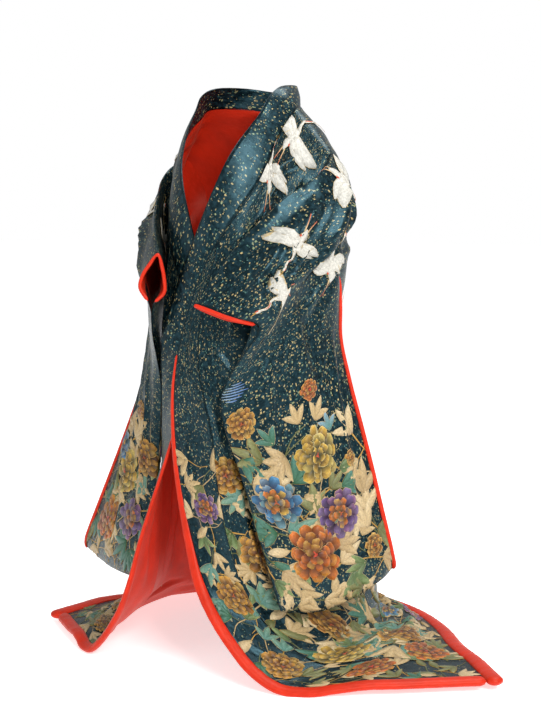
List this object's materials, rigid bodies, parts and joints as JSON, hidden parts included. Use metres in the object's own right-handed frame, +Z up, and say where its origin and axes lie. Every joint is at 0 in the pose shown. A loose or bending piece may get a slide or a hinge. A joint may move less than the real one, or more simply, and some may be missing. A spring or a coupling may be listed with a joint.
{
  "type": "uchikake wedding kimono",
  "caption": "Open trailing over-kimono in worn form with no wearer: hanging sleeves, crossed collar fronts, red lining and a padded red hem roll.",
  "frame": {"origin": "where the wearer's neck and shoulders carry the garment, 1.33 m above the floor that the train lies on", "axes": "+Z up, the wearer faces -Y, the wearer's left side is +X"},
  "size_m": [1.2236, 0.8531, 1.3985],
  "materials": {
    "teal_satin": "figured silk satin with gold flecks, cranes, peonies and leaves",
    "vermilion_silk": "plain red silk with a soft sheen"
  },
  "bodies": {
    "root": {"body_left": "teal_satin", "body_right": "teal_satin", "overlap_left": "teal_satin", "overlap_right": "teal_satin", "collar": "teal_satin", "sleeve_left": "teal_satin", "sleeve_right": "teal_satin", "body_lining_left": "vermilion_silk", "body_lining_right": "vermilion_silk", "overlap_lining_left": "vermilion_silk", "overlap_lining_right": "vermilion_silk", "sleeve_lining_left": "vermilion_silk", "sleeve_lining_right": "vermilion_silk", "fuki_hem": "vermilion_silk", "fuki_left": "vermilion_silk", "fuki_right": "vermilion_silk", "cuff_roll_left": "vermilion_silk", "cuff_roll_right": "vermilion_silk", "furi_roll_left": "vermilion_silk", "furi_roll_right": "vermilion_silk"}
  },
  "joints": []
}
